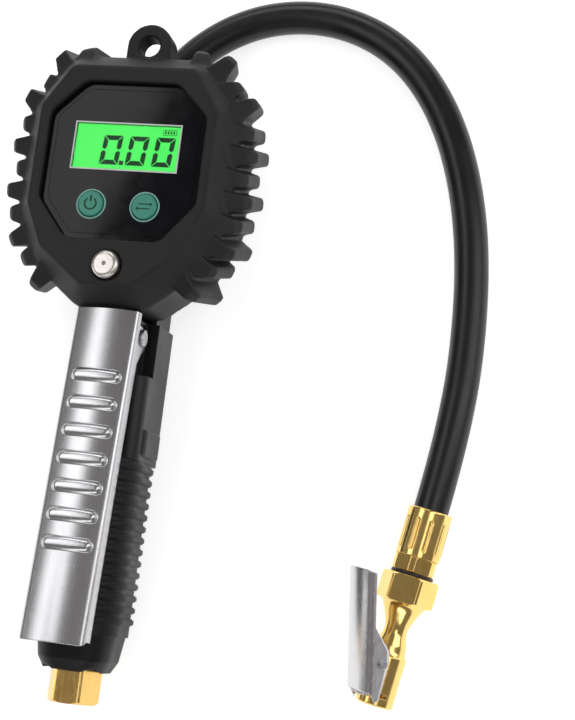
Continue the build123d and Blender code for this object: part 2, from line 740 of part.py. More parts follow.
def bleed_spring():
    base = Plane(origin=(0, bleed_y + gauge_y, 19.4))
    return helical_spring(2.4, 0.35, 2.44, 5.0, base)


def bleed_seal():
    return Pos(0, bleed_y + gauge_y, 15.35) * Torus(1.85, 0.5)


def bleed_bush():
    """Threaded guide bush in the mouth of the turret."""
    bush = post(3.6 - running_gap, 0, bleed_y, 33.0, turret_top)
    return bush - post(1.25 + running_gap, 0, bleed_y, 32, turret_top + 1)


# ---------------------------------------------------------------- hose
def hose_points():
    """Route of the hose from the gauge to the chuck: under the head, over to the right, down."""
    level = hose_floor_z
    lead = 35.0
    end_x, end_y = along_chuck(hose_grip)
    lead_x, lead_y = along_chuck(hose_grip - lead)
    points = [
        (hose_x, hose_exit_y, ferrule_z),
        (hose_x, 35.0, ferrule_z),
        (8.5, 61.0, level),
        (33.5, 76.0, level),
        (63.0, 77.5, level),
        (90.0, 65.5, level),
        (109.5, 41.0, level),
        (121.5, 7.0, level),
        (126.0, -31.5, level),
        (lead_x, lead_y, chuck_z),
        (end_x, end_y, chuck_z),
    ]
    return [(x, y + gauge_y, z) for x, y, z in points]


def along_chuck(distance):
    """Point on the chuck's axis, measured from the mouth of its ferrule towards the tyre."""
    turn = math.radians(chuck_turn)
    return chuck_x - distance * math.sin(turn), chuck_y - distance * math.cos(turn)


def bend_radii(points):
    """For each corner, the arc that takes 0.45 of the shorter of its two runs."""
    corners = [Vector(*point) for point in points]
    radii = []
    for before, at, after in zip(corners, corners[1:], corners[2:]):
        run_in, run_out = at - before, after - at
        turn = math.radians(run_in.get_angle(run_out))
        radii.append(0.45 * min(run_in.length, run_out.length) / math.tan(turn / 2))
    return radii


def hose():
    points = hose_points()
    radii = bend_radii(points)
    path = FilletPolyline(*points, radius=radii)
    start = Plane(origin=path @ 0, z_dir=path % 0)
    tube = sweep(start * Circle(hose_r), path=path)
    print("hose length", round(path.length, 1), "bend radii", [round(r, 1) for r in radii])
    print("hose volume / (section x length)", round(tube.volume / (math.pi * hose_r**2 * path.length), 4))
    return tube


# ---------------------------------------------------------------- hose fittings, own frame along +Z
def head_end():
    """Frame at the mouth of the first ferrule, +Z back towards the neck."""
    origin = (hose_x, hose_exit_y + hose_grip + gauge_y, ferrule_z)
    return Plane(origin=origin, x_dir=(1, 0, 0), z_dir=(0, -1, 0)).location


def chuck_end(roll=0.0):
    """Frame at the mouth of the second ferrule, +Z towards the tyre, +Y up."""
    turn = math.radians(chuck_turn)
    origin = (chuck_x, chuck_y + gauge_y, chuck_z)
    aim = (-math.sin(turn), -math.cos(turn), 0)
    side = (math.cos(turn), -math.sin(turn), 0)
    return Plane(origin=origin, x_dir=side, z_dir=aim).location * Rot(0, 0, -roll)


def rod(radius, z0, z1):
    """Cylinder along +Z in a fitting's frame."""
    return Pos(0, 0, (z0 + z1) / 2) * Cylinder(radius, z1 - z0)


def hexagon(flats, z0, z1):
    """Hexagon bar along +Z, a flat towards -Y, its six corners chamfered at both ends."""
    section = RegularPolygon(flats / 2, 6, major_radius=False)
    bar = Pos(0, 0, z0) * extrude(section, z1 - z0)
    turned = rod(flats / math.sqrt(3) - 0.25, z0, z1)
    return bar & chamfer(turned.edges(), 0.7)


def ferrule(length):
    """Crimped brass sleeve with ten pressed grooves and a rolled mouth."""
    sleeve = fillet(rod(ferrule_r, 0, length).edges().sort_by(Axis.Z)[:1], 0.7)
    for k in range(10):
        groove = Pos(ferrule_r + 0.45, 0, length / 2 + 0.8) * Cylinder(1.0, length - 5.5)
        sleeve -= Rot(0, 0, 36 * k) * fillet(groove.edges(), 0.7)
    return sleeve - rod(hose_r + 0.1, -1, length - 1.4) - rod(fitting_stub_r + 0.1, 0, length + 1)


def barb(length):
    """Hose barb inside a ferrule."""
    return rod(hose_r - 0.1, hose_grip + 0.1, length - 1.5) + rod(fitting_stub_r, length - 2, length + 1)


def ferrule_head():
    return head_end() * ferrule(head_ferrule)


def hose_fitting_head():
    back = head_ferrule + fitting_length
    fitting = barb(head_ferrule) + hexagon(fitting_flats, head_ferrule + 0.05, back)
    fitting += rod(fitting_stub_r, back, back + 6.5)
    return head_end() * (fitting - rod(hose_bore_r, 0, back + 10))


def ferrule_chuck():
    return chuck_end() * ferrule(chuck_ferrule)


collar_end = chuck_ferrule + collar_length
chuck_start = collar_end + chuck_ring + 0.2
mouth_end = chuck_start + chuck_length
socket_r = 4.6


def hose_fitting_chuck():
    """Barb, small hexagon and the threaded stub that the chuck swivels on."""
    collar = Rot(0, 0, 30) * hexagon(collar_flats, chuck_ferrule + 0.05, collar_end)
    collar &= hexagon(collar_flats + 1.0, chuck_ferrule, collar_end + 1)
    fitting = barb(chuck_ferrule) + collar + rod(socket_r, collar_end, chuck_start + 6)
    return chuck_end() * (fitting - rod(hose_bore_r, 0, chuck_start + 10))


def chuck_ring_seal():
    ring = rod(7.6, collar_end + 0.1, chuck_start - 0.1)
    return chuck_end() * (fillet(ring.edges(), 0.3) - rod(socket_r + running_gap, 0, chuck_start))


def chuck_body():
    """Turned brass chuck: large hexagon, slim waist, stepped tip with a clip lug and a slot for the jaw."""
    hex_end = chuck_start + chuck_hex_length
    tip_start = mouth_end - 18.0
    shoulder = chuck_flats / 2 - 0.3
    neck = chuck_tip_r - 0.5
    waist = mouth_end - 26.0
    outline = [
        Line((0, hex_end - 1), (shoulder, hex_end - 1)),
        Line((shoulder, hex_end - 1), (shoulder, hex_end)),
        Spline(
            (shoulder, hex_end), (5.6, hex_end + 4.6), (chuck_waist_r, waist), (5.4, tip_start - 3.2),
            (neck, tip_start), tangents=[(-0.9, 0.5), (0.5, 0.9)],
        ),
        Line((neck, tip_start), (neck, tip_start + 1)),
        Line((neck, tip_start + 1), (0, tip_start + 1)),
        Line((0, tip_start + 1), (0, hex_end - 1)),
    ]
    turned = revolve(Plane.XZ * make_face(outline), Axis.Z)
    tip = rod(chuck_tip_r, tip_start, mouth_end)
    body = turned + chamfer(tip.edges(), 0.5) + hexagon(chuck_flats, chuck_start, hex_end)
    body += Rot(0, 0, -clip_roll) * clip_lug()
    cut = Pos(-chuck_tip_r - 0.5, 0, mouth_end - 3.95) * Box(2 * chuck_tip_r, 20, 1.6)
    pin_bore = Rot(90, 0, 0) * Cylinder(clip_pin_r + running_gap, 20)
    cut += Pos(-clip_pin_out, 0, mouth_end - clip_pin_back) * pin_bore
    body -= Rot(0, 0, -clip_roll) * cut
    body -= rod(socket_r + running_gap, chuck_start - 1, chuck_start + 6.5)
    body -= rod(hose_bore_r, chuck_start, mouth_end)
    body -= rod(chuck_inner_r, mouth_end - mouth_depth - 10, mouth_end)
    body -= rod(mouth_r + 0.5, mouth_end - mouth_depth - 2.6, mouth_end - mouth_depth)
    body -= rod(mouth_r, mouth_end - mouth_depth, mouth_end + 1)
    return chuck_end() * body


def clip_lug():
    """Lug on the chuck's tip, between the cheeks of the clip."""
    pin_z = mouth_end - clip_pin_back
    wide = clip_w - 2 * clip_sheet - 0.3
    foot = Pos(-clip_pin_out / 2 - 1.2, 0, pin_z) * Box(clip_pin_out - 2.4, wide, 4.4)
    return foot + Pos(-clip_pin_out, 0, pin_z) * Rot(90, 0, 0) * Cylinder(2.2, wide)


def chuck_seal():
    seal = rod(mouth_r + 0.4, mouth_end - mouth_depth - 2.5, mouth_end - mouth_depth - 0.1)
    return chuck_end() * (seal - rod(2.0, 0, mouth_end))


def chuck_depressor():
    """Pin that opens the tyre valve, on a three-legged plate."""
    base = mouth_end - mouth_depth - 9.9
    plate = rod(chuck_inner_r - 0.1, base, base + 1.2)
    for k in range(3):
        plate -= Rot(0, 0, 120 * k) * Pos(1.7, 0, base + 0.6) * Cylinder(0.5, 3)
    return chuck_end() * (plate + rod(0.9, base, mouth_end - mouth_depth - 0.2))


def clip_slab(points, y0, y1):
    """Side outline of the clip, given as (out, along) points, made solid from y0 to y1."""
    side = make_face(Polyline(*points, close=True))
    return Pos(0, y1, 0) * extrude(Plane.XZ * side, y1 - y0)


def chuck_clip():
    """Stamped steel clip: a channel with a rounded back, cheeks round the pin and a jaw through the slot."""
    pin_z = mouth_end - clip_pin_back
    slope = math.tan(math.radians(clip_angle))
    far = clip_out + clip_reach * slope
    top_z = pin_z - clip_reach
    end_z = mouth_end - 3.5
    end_out = clip_out - (end_z - pin_z) * slope
    cheek_z = pin_z - 11.3
    cheek_out = clip_out + (pin_z - cheek_z) * slope - 3.0
    outside = [
        (-far, top_z),
        (-end_out, end_z),
        (-chuck_tip_r + 0.6, mouth_end - 0.6),
        (-chuck_tip_r + 2.8, mouth_end - 2.2),
        (-chuck_tip_r + 2.5, pin_z - 1.8),
        (-chuck_tip_r + 1.2, pin_z - 4.8),
        (-cheek_out, cheek_z),
        (-far + 3.0, top_z),
    ]
    inside = [
        (-far + clip_sheet - 2 * slope, top_z - 2),
        (-end_out + clip_sheet + 5 * slope, end_z + 5),
        (0, end_z + 5),
        (0, top_z - 2),
    ]
    half = clip_w / 2
    clip = clip_slab(outside, -half, half)
    clip = fillet(clip.edges().filter_by(lambda edge: edge.length > 35).sort_by(Axis.X)[:2], 2.2)
    hollow = clip_slab(inside, -half + clip_sheet, half - clip_sheet)
    clip -= fillet(hollow.edges().filter_by(lambda edge: edge.length > 35).sort_by(Axis.X)[:2], 1.3)
    tongue_out = end_out - 0.4 - mouth_r - 0.3
    clip += Pos(-mouth_r - 0.3 - tongue_out / 2, 0, end_z - clip_sheet / 2) * Box(tongue_out, 6.0, clip_sheet)
    clip -= Pos(-clip_pin_out, 0, pin_z) * Rot(90, 0, 0) * Cylinder(clip_pin_r + running_gap, 20)
    return chuck_end(clip_roll) * clip


def chuck_pin():
    """Clip pin; it stands out further on the hidden side, where the spring sits."""
    pin_z = mouth_end - clip_pin_back
    low, high = -clip_w / 2 - 1.7, clip_w / 2 + 0.2
    pin = Pos(-clip_pin_out, (low + high) / 2, pin_z) * Rot(90, 0, 0) * Cylinder(clip_pin_r, high - low)
    for y in (low - 0.3, high + 0.3):
        pin += Pos(-clip_pin_out, y, pin_z) * Rot(90, 0, 0) * Cylinder(1.6, 0.7)
    return chuck_end(clip_roll) * pin


def chuck_spring():
    """Torsion spring round the pin, outside the hidden cheek."""
    pin_z = mouth_end - clip_pin_back
    base = Plane(origin=(-clip_pin_out, -clip_w / 2 - 1.35, pin_z), x_dir=(1, 0, 0), z_dir=(0, 1, 0))
    return chuck_end(clip_roll) * helical_spring(1.4, 0.22, 0.5, 2.0, base)


# ---------------------------------------------------------------- every node, one STEP file each
nodes = {
    "boot": boot,
    "front_housing": front_housing,
    "rear_housing": rear_housing,
    "face_panel": face_panel,
    "lcd_window": lcd_window,
    "lcd_panel": lcd_panel,
    "lcd_backlight": backlight,
    "power_button": lambda: key(-button_x),
    "units_button": lambda: key(button_x),
    "tact_switches": tact_switches,
    "circuit_board": circuit_board,
    "board_chips": chips,
    "pressure_sensor": pressure_sensor,
    "sensor_seal": sensor_seal,
    "aaa_batteries": batteries,
    "battery_contacts": battery_contacts,
    "battery_door": battery_door,
    "battery_door_screw": battery_screw,
    "housing_screws": housing_screws,
    "head_screws": head_mount_screws,
    "bleed_button": bleed_button,
    "bleed_stem": bleed_stem,
    "bleed_spring": bleed_spring,
    "bleed_seal": bleed_seal,
    "bleed_bush": bleed_bush,
    "valve_body": valve_body,
    "grip_sleeve": grip_sleeve,
    "inlet_nut": inlet_nut,
    "inlet_screen": inlet_screen,
    "lever": lever,
    "lever_pin": lever_pin,
    "valve_plunger": valve_plunger,
    "valve_disc": valve_disc,
    "plunger_seal": plunger_seal,
    "plunger_bush": plunger_bush,
    "plunger_spring": plunger_spring,
    "passage_plugs": passage_plugs,
    "hose": hose,
    "ferrule_head": ferrule_head,
    "hose_fitting_head": hose_fitting_head,
    "ferrule_chuck": ferrule_chuck,
    "hose_fitting_chuck": hose_fitting_chuck,
    "chuck_ring_seal": chuck_ring_seal,
    "chuck_body": chuck_body,
    "chuck_seal": chuck_seal,
    "chuck_depressor": chuck_depressor,
    "chuck_clip": chuck_clip,
    "chuck_pin": chuck_pin,
    "chuck_spring": chuck_spring,
}

for name, make in nodes.items():
    solid = make()
    export_step(solid, f"parts/{name}.step")
    print(name, round(solid.volume), "mm3")
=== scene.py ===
import math

import bmesh
import bpy
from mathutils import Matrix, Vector


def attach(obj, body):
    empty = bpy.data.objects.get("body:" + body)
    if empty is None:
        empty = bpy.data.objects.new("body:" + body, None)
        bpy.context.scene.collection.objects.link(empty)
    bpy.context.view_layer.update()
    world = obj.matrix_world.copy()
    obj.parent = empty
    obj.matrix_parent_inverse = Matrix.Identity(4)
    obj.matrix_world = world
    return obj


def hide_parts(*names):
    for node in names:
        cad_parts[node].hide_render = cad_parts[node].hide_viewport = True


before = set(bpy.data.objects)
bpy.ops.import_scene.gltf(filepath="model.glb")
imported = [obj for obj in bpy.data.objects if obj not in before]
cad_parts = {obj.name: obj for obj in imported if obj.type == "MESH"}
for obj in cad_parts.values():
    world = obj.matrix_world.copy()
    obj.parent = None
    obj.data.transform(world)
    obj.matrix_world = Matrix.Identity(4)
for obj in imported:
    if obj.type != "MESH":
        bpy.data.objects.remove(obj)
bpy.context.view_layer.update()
mm = 0.001
gaugeY = 63.5  # the gauge centre's place along the tool, in mm like every size below

# ---- shader helpers


def newMaterial(name, color, roughness, metallic=0.0):
    material = bpy.data.materials.new(name)
    material.use_nodes = True
    tree = material.node_tree
    shader = tree.nodes["Principled BSDF"]
    shader.inputs["Base Color"].default_value = (*color, 1.0)
    shader.inputs["Roughness"].default_value = roughness
    shader.inputs["Metallic"].default_value = metallic
    return material, tree, shader


def newPiece(name, shape, material):  # a mesh object from a finished bmesh
    mesh = bpy.data.meshes.new(name)
    shape.to_mesh(mesh)
    shape.free()
    mesh.materials.append(material)
    piece = bpy.data.objects.new(name, mesh)
    bpy.context.scene.collection.objects.link(piece)
    return piece


def boxOutline(x0, y0, x1, y1):
    return [(x0, y0), (x1, y0), (x1, y1), (x0, y1)]


def thicken(piece, sheet):  # sheet metal, grown inwards from its outer face
    thick = piece.modifiers.new("sheet", "SOLIDIFY")
    thick.thickness = sheet * mm
    thick.offset = -1.0


def standFor(piece, node, body):  # the piece takes the place of a CAD node
    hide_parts(node)
    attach(piece, body)


def newGroup(name, inputs, outputs):
    group = bpy.data.node_groups.new(name, "ShaderNodeTree")
    for label, kind, value in inputs:
        socket = group.interface.new_socket(label, in_out="INPUT", socket_type=kind)
        socket.default_value = value
    for label, kind in outputs:
        group.interface.new_socket(label, in_out="OUTPUT", socket_type=kind)
    source = group.nodes.new("NodeGroupInput")
    target = group.nodes.new("NodeGroupOutput")
    return group, source, target


def addMath(tree, operation, first, second=None):
    node = tree.nodes.new("ShaderNodeMath")
    node.operation = operation
    for socket, value in zip(node.inputs, (first, second)):
        if value is None:
            continue
        if isinstance(value, (int, float)):
            socket.default_value = value
        else:
            tree.links.new(value, socket)
    return node.outputs[0]


def addRange(tree, value, low, high, toLow, toHigh):
    node = tree.nodes.new("ShaderNodeMapRange")
    tree.links.new(value, node.inputs["Value"])
    names = ("From Min", "From Max", "To Min", "To Max")
    for label, number in zip(names, (low, high, toLow, toHigh)):
        if isinstance(number, (int, float)):
            node.inputs[label].default_value = number
        else:
            tree.links.new(number, node.inputs[label])
    return node.outputs[0]


grainLook = {"scale": 900.0, "patchScale": 60.0, "detail": 4.0, "roughness": 0.6, "patchDetail": 3.0}


def makeGrain():  # fine moulded texture: a height and a blotchy value
    look = grainLook
    group, source, target = newGroup(
        "moulded grain",
        [("Scale", "NodeSocketFloat", look["scale"]), ("Patch Scale", "NodeSocketFloat", look["patchScale"])],
        [("Height", "NodeSocketFloat"), ("Patches", "NodeSocketFloat")],
    )
    place = group.nodes.new("ShaderNodeTexCoord")
    fine = group.nodes.new("ShaderNodeTexNoise")
    fine.inputs["Detail"].default_value = look["detail"]
    fine.inputs["Roughness"].default_value = look["roughness"]
    wide = group.nodes.new("ShaderNodeTexNoise")
    wide.inputs["Detail"].default_value = look["patchDetail"]
    for noise, label in ((fine, "Scale"), (wide, "Patch Scale")):
        group.links.new(place.outputs["Object"], noise.inputs["Vector"])
        group.links.new(source.outputs[label], noise.inputs["Scale"])
    group.links.new(fine.outputs[0], target.inputs["Height"])
    group.links.new(wide.outputs[0], target.inputs["Patches"])
    return group


brushedLook = {"stretch": (1.0, 1.0, 1.0), "scale": 600.0, "detail": 3.0}


def makeBrushed():  # streaks along one axis, from noise squeezed across them
    look = brushedLook
    group, source, target = newGroup(
        "brushed streaks",
        [("Stretch", "NodeSocketVector", look["stretch"]), ("Scale", "NodeSocketFloat", look["scale"])],
        [("Height", "NodeSocketFloat"), ("Streaks", "NodeSocketFloat")],
    )
    place = group.nodes.new("ShaderNodeTexCoord")
    squeeze = group.nodes.new("ShaderNodeVectorMath")
    squeeze.operation = "MULTIPLY"
    noise = group.nodes.new("ShaderNodeTexNoise")
    noise.inputs["Detail"].default_value = look["detail"]
    group.links.new(place.outputs["Object"], squeeze.inputs[0])
    group.links.new(source.outputs["Stretch"], squeeze.inputs[1])
    group.links.new(squeeze.outputs[0], noise.inputs["Vector"])
    group.links.new(source.outputs["Scale"], noise.inputs["Scale"])
    group.links.new(noise.outputs[0], target.inputs["Height"])
    group.links.new(noise.outputs[0], target.inputs["Streaks"])
    return group


edgeLook = {
    "width": 0.0006, "amount": 1.0, "rays": 6, "sharp": (0.8, 0.995, 1.0, 0.0),
    "breakScale": 300.0, "breaks": (0.35, 0.6, 0.4, 1.0),
}


def makeEdges():  # 1 on worn outer edges and 0 on flats
    look = edgeLook
    group, source, target = newGroup(
        "edge wear",
        [("Width", "NodeSocketFloat", look["width"]), ("Amount", "NodeSocketFloat", look["amount"])],
        [("Mask", "NodeSocketFloat"), ("Rounded", "NodeSocketVector")],
    )
    bevel = group.nodes.new("ShaderNodeBevel")
    bevel.samples = look["rays"]
    group.links.new(source.outputs["Width"], bevel.inputs["Radius"])
    flat = group.nodes.new("ShaderNodeNewGeometry")
    dot = group.nodes.new("ShaderNodeVectorMath")
    dot.operation = "DOT_PRODUCT"
    group.links.new(bevel.outputs[0], dot.inputs[0])
    group.links.new(flat.outputs["Normal"], dot.inputs[1])
    edge = addRange(group, dot.outputs["Value"], *look["sharp"])
    noise = group.nodes.new("ShaderNodeTexNoise")
    noise.inputs["Scale"].default_value = look["breakScale"]
    broken = addRange(group, noise.outputs[0], *look["breaks"])
    mask = addMath(group, "MULTIPLY", addMath(group, "MULTIPLY", edge, broken), source.outputs["Amount"])
    group.links.new(mask, target.inputs["Mask"])
    group.links.new(bevel.outputs[0], target.inputs["Rounded"])
    return group


grainGroup = makeGrain()
brushedGroup = makeBrushed()
edgeGroup = makeEdges()


def placeGroup(tree, group, **values):
    node = tree.nodes.new("ShaderNodeGroup")
    node.node_tree = group
    for label, value in values.items():
        node.inputs[label.replace("_", " ")].default_value = value
    return node


def mixColors(tree, mask, first, second):
    node = tree.nodes.new("ShaderNodeMix")
    node.data_type = "RGBA"
    tree.links.new(mask, node.inputs["Factor"])
    for socket, value in ((node.inputs[6], first), (node.inputs[7], second)):
        if isinstance(value, tuple):
            socket.default_value = (*value, 1.0)
        else:
            tree.links.new(value, socket)
    return node.outputs[2]


def addBump(tree, shader, height, strength, distance, normal=None):
    bump = tree.nodes.new("ShaderNodeBump")
    bump.inputs["Strength"].default_value = strength
    bump.inputs["Distance"].default_value = distance
    tree.links.new(height, bump.inputs["Height"])
    if normal is not None:
        tree.links.new(normal, bump.inputs["Normal"])
    tree.links.new(bump.outputs[0], shader.inputs["Normal"])


mouldedLook = {  # what the moulded materials share; lengths in metres
    "specular": 0.5, "patchScale": 60.0, "edgeWidth": 0.0007, "edgeAmount": 0.5,
    "patches": (0.35, 0.65, 0.0, 1.0), "grainSpan": (0.3, 0.7), "smoother": 0.06, "duller": 0.08,
    "bumpDepth": 0.0002,
}
metalLook = {  # what the metals share; lengths in metres
    "grainScale": 1500.0, "patchScale": 90.0, "edgeWidth": 0.0004, "edgeAmount": 0.5,
    "patches": (0.4, 0.7, 0.0, 1.0), "streakSpan": (0.3, 0.7), "bumpDepth": 0.00005,
}


def mouldedMaterial(name, own):  # rubber and plastic: grain, patches of wear, paler edges
    look = {**mouldedLook, **own}
    material, tree, shader = newMaterial(name, look["color"], look["roughness"])
    shader.inputs["Specular IOR Level"].default_value = look["specular"]
    grain = placeGroup(tree, grainGroup, Scale=look["grainScale"], Patch_Scale=look["patchScale"])
    edge = placeGroup(tree, edgeGroup, Width=look["edgeWidth"], Amount=look["edgeAmount"])
    patches = addRange(tree, grain.outputs["Patches"], *look["patches"])
    base = mixColors(tree, patches, look["color"], look["patchColor"])
    color = mixColors(tree, edge.outputs["Mask"], base, look["edgeColor"])
    tree.links.new(color, shader.inputs["Base Color"])
    smooth, dull = look["roughness"] - look["smoother"], look["roughness"] + look["duller"]
    rough = addRange(tree, grain.outputs["Patches"], *look["grainSpan"], smooth, dull)
    tree.links.new(rough, shader.inputs["Roughness"])
    addBump(tree, shader, grain.outputs["Height"], look["bump"], look["bumpDepth"], edge.outputs["Rounded"])
    return material


def metalMaterial(name, own):  # plated or turned metal: streaks, soft edges, faint stains
    look = {**metalLook, **own}
    material, tree, shader = newMaterial(name, look["color"], look["roughness"], 1.0)
    streak = placeGroup(tree, brushedGroup, Stretch=look["stretch"], Scale=look["streakScale"])
    grain = placeGroup(tree, grainGroup, Scale=look["grainScale"], Patch_Scale=look["patchScale"])
    edge = placeGroup(tree, edgeGroup, Width=look["edgeWidth"], Amount=look["edgeAmount"])
    patches = addRange(tree, grain.outputs["Patches"], *look["patches"])
    base = mixColors(tree, patches, look["color"], look["stainColor"])
    color = mixColors(tree, edge.outputs["Mask"], base, look["edgeColor"])
    tree.links.new(color, shader.inputs["Base Color"])
    smooth, dull = look["roughness"] - look["spread"], look["roughness"] + look["spread"]
    rough = addRange(tree, streak.outputs["Streaks"], *look["streakSpan"], smooth, dull)
    tree.links.new(rough, shader.inputs["Roughness"])
    addBump(tree, shader, streak.outputs["Height"], look["bump"], look["bumpDepth"], edge.outputs["Rounded"])
    return material


# ---- materials for this tool's own pieces

rubberBoot = mouldedMaterial("boot rubber", {
    "color": (0.009, 0.0088, 0.0092), "patchColor": (0.0135, 0.013, 0.0134),
    "edgeColor": (0.038, 0.036, 0.037), "roughness": 0.55, "grainScale": 1400.0, "bump": 0.35,
    "edgeAmount": 0.6, "specular": 0.38,
})
blackMoulding = mouldedMaterial("handle moulding", {
    "color": (0.006, 0.006, 0.0064), "patchColor": (0.009, 0.009, 0.0094), "edgeColor": (0.036, 0.036, 0.038),
    "roughness": 0.4, "grainScale": 2200.0, "bump": 0.2, "edgeAmount": 0.5, "specular": 0.3,
})
gripRubber = mouldedMaterial("grip rubber", {
    "color": (0.004, 0.004, 0.0043), "patchColor": (0.006, 0.006, 0.0063), "edgeColor": (0.022, 0.022, 0.023),
    "roughness": 0.42, "grainScale": 1800.0, "bump": 0.25, "edgeAmount": 0.5, "specular": 0.28,
})
blackSeal = mouldedMaterial("seal rubber", {
    "color": (0.01, 0.01, 0.01), "patchColor": (0.014, 0.014, 0.014), "edgeColor": (0.04, 0.04, 0.04),
    "roughness": 0.45, "grainScale": 2500.0, "bump": 0.15,
})
whiteDiffuser = mouldedMaterial("backlight diffuser", {
    "color": (0.75, 0.77, 0.75), "patchColor": (0.7, 0.72, 0.7), "edgeColor": (0.85, 0.85, 0.85),
    "roughness": 0.5, "grainScale": 1500.0, "bump": 0.1,
})
greenBoard = mouldedMaterial("circuit board", {
    "color": (0.015, 0.16, 0.06), "patchColor": (0.02, 0.2, 0.07), "edgeColor": (0.4, 0.35, 0.2),
    "roughness": 0.32, "grainScale": 2500.0, "bump": 0.2, "patchScale": 300.0,
})
chipPlastic = mouldedMaterial("chip plastic", {
    "color": (0.02, 0.02, 0.02), "patchColor": (0.03, 0.03, 0.03), "edgeColor": (0.08, 0.08, 0.08),
    "roughness": 0.5, "grainScale": 3000.0, "bump": 0.2,
})
cellSleeve = mouldedMaterial("battery sleeve", {
    "color": (0.03, 0.2, 0.06), "patchColor": (0.04, 0.26, 0.08), "edgeColor": (0.5, 0.5, 0.45),
    "roughness": 0.25, "grainScale": 1500.0, "bump": 0.08,
})
leverChrome = metalMaterial("lever chrome", {
    "color": (0.56, 0.56, 0.58), "stainColor": (0.54, 0.54, 0.56), "edgeColor": (0.75, 0.75, 0.77),
    "roughness": 0.26, "spread": 0.015, "stretch": (1.0, 0.05, 1.0), "streakScale": 2200.0, "bump": 0.02,
    "edgeAmount": 0.12, "edgeWidth": 0.0002,
})
nickelButton = metalMaterial("nickel button", {
    "color": (0.72, 0.69, 0.65), "stainColor": (0.64, 0.61, 0.57), "edgeColor": (0.9, 0.88, 0.84),
    "roughness": 0.34, "spread": 0.05, "stretch": (1.0, 1.0, 0.1), "streakScale": 1200.0, "bump": 0.15,
})
yellowBrass = metalMaterial("yellow brass", {
    "color": (0.97, 0.69, 0.24), "stainColor": (0.93, 0.63, 0.2), "edgeColor": (1.0, 0.88, 0.55),
    "roughness": 0.18, "spread": 0.04, "stretch": (1.0, 0.25, 1.0), "streakScale": 900.0, "bump": 0.04,
})
goldBrass = metalMaterial("gold brass", {
    "color": (0.9, 0.6, 0.2), "stainColor": (0.84, 0.53, 0.16), "edgeColor": (1.0, 0.78, 0.4),
    "roughness": 0.22, "spread": 0.06, "stretch": (1.0, 0.25, 1.0), "streakScale": 900.0, "bump": 0.08,
})
clipSteel = metalMaterial("clip steel", {
    "color": (0.71, 0.71, 0.73), "stainColor": (0.67, 0.67, 0.69), "edgeColor": (0.86, 0.86, 0.87),
    "roughness": 0.24, "spread": 0.04, "stretch": (1.0, 0.15, 1.0), "streakScale": 1400.0, "bump": 0.05,
})
zincSteel = metalMaterial("zinc steel", {
    "color": (0.5, 0.5, 0.52), "stainColor": (0.42, 0.42, 0.45), "edgeColor": (0.75, 0.75, 0.77),
    "roughness": 0.33, "spread": 0.08, "stretch": (1.0, 1.0, 0.3), "streakScale": 1300.0, "bump": 0.12,
})


gloss = {
    "color": (0.004, 0.004, 0.006), "dust": (0.05, 0.05, 0.05), "roughness": 0.12, "specular": 0.22,
    "grain": {"Scale": 2500.0, "Patch_Scale": 120.0},
    "specks": (0.68, 0.75, 0.0, 0.35), "rough": (0.3, 0.7, 0.06, 0.14),
}


def glossPanelMaterial():  # smooth black overlay with faint specks of dust
    material, tree, shader = newMaterial("gloss panel", gloss["color"], gloss["roughness"])
    shader.inputs["Specular IOR Level"].default_value = gloss["specular"]
    grain = placeGroup(tree, grainGroup, **gloss["grain"])
    specks = addRange(tree, grain.outputs["Height"], *gloss["specks"])
    tree.links.new(mixColors(tree, specks, gloss["color"], gloss["dust"]), shader.inputs["Base Color"])
    tree.links.new(addRange(tree, grain.outputs["Patches"], *gloss["rough"]), shader.inputs["Roughness"])
    return material


backlit = {
    "color": (0.01, 0.08, 0.02), "roughness": 0.5, "grain": {"Scale": 3000.0, "Patch_Scale": 40.0},
    "dimmer": (0.05, 0.8, 0.09), "brighter": (0.08, 0.92, 0.12), "strength": 1.0,
}


def displayMaterial():  # backlit liquid crystal: green, a little uneven
    material, tree, shader = newMaterial("display green", backlit["color"], backlit["roughness"])
    grain = placeGroup(tree, grainGroup, **backlit["grain"])
    glow = mixColors(tree, grain.outputs["Patches"], backlit["dimmer"], backlit["brighter"])
    tree.links.new(glow, shader.inputs["Emission Color"])
    shader.inputs["Emission Strength"].default_value = backlit["strength"]
    return material


clear = {
    "color": (1.0, 1.0, 1.0), "roughness": 0.02, "ior": 1.2, "alpha": 0.25,
    "grain": {"Scale": 2000.0, "Patch_Scale": 80.0}, "rough": (0.3, 0.7, 0.01, 0.04),
}


def windowMaterial():  # clear display window
    material, tree, shader = newMaterial("window clear", clear["color"], clear["roughness"])
    shader.inputs["Transmission Weight"].default_value = 1.0
    shader.inputs["IOR"].default_value = clear["ior"]
    shader.inputs["Alpha"].default_value = clear["alpha"]
    grain = placeGroup(tree, grainGroup, **clear["grain"])
    tree.links.new(addRange(tree, grain.outputs["Patches"], *clear["rough"]), shader.inputs["Roughness"])
    return material


teal = {
    "color": (0.03, 0.27, 0.19), "roughness": 0.35, "grain": {"Scale": 1800.0, "Patch_Scale": 150.0},
    "darker": (0.025, 0.24, 0.17), "paler": (0.045, 0.33, 0.24), "bump": 0.1, "bumpDepth": 0.0001,
}


def keyMaterial():  # satin teal key cap
    material, tree, shader = newMaterial("key teal", teal["color"], teal["roughness"])
    grain = placeGroup(tree, grainGroup, **teal["grain"])
    color = mixColors(tree, grain.outputs["Patches"], teal["darker"], teal["paler"])
    tree.links.new(color, shader.inputs["Base Color"])
    addBump(tree, shader, grain.outputs["Height"], teal["bump"], teal["bumpDepth"])
    return material


ink = {"grain": {"Scale": 4000.0, "Patch_Scale": 400.0}, "thin": 0.8}


def inkMaterial(name, color, roughness):  # printed ink and liquid-crystal segments
    material, tree, shader = newMaterial(name, color, roughness)
    grain = placeGroup(tree, grainGroup, **ink["grain"])
    darker = tuple(channel * ink["thin"] for channel in color)
    tree.links.new(mixColors(tree, grain.outputs["Patches"], color, darker), shader.inputs["Base Color"])
    return material


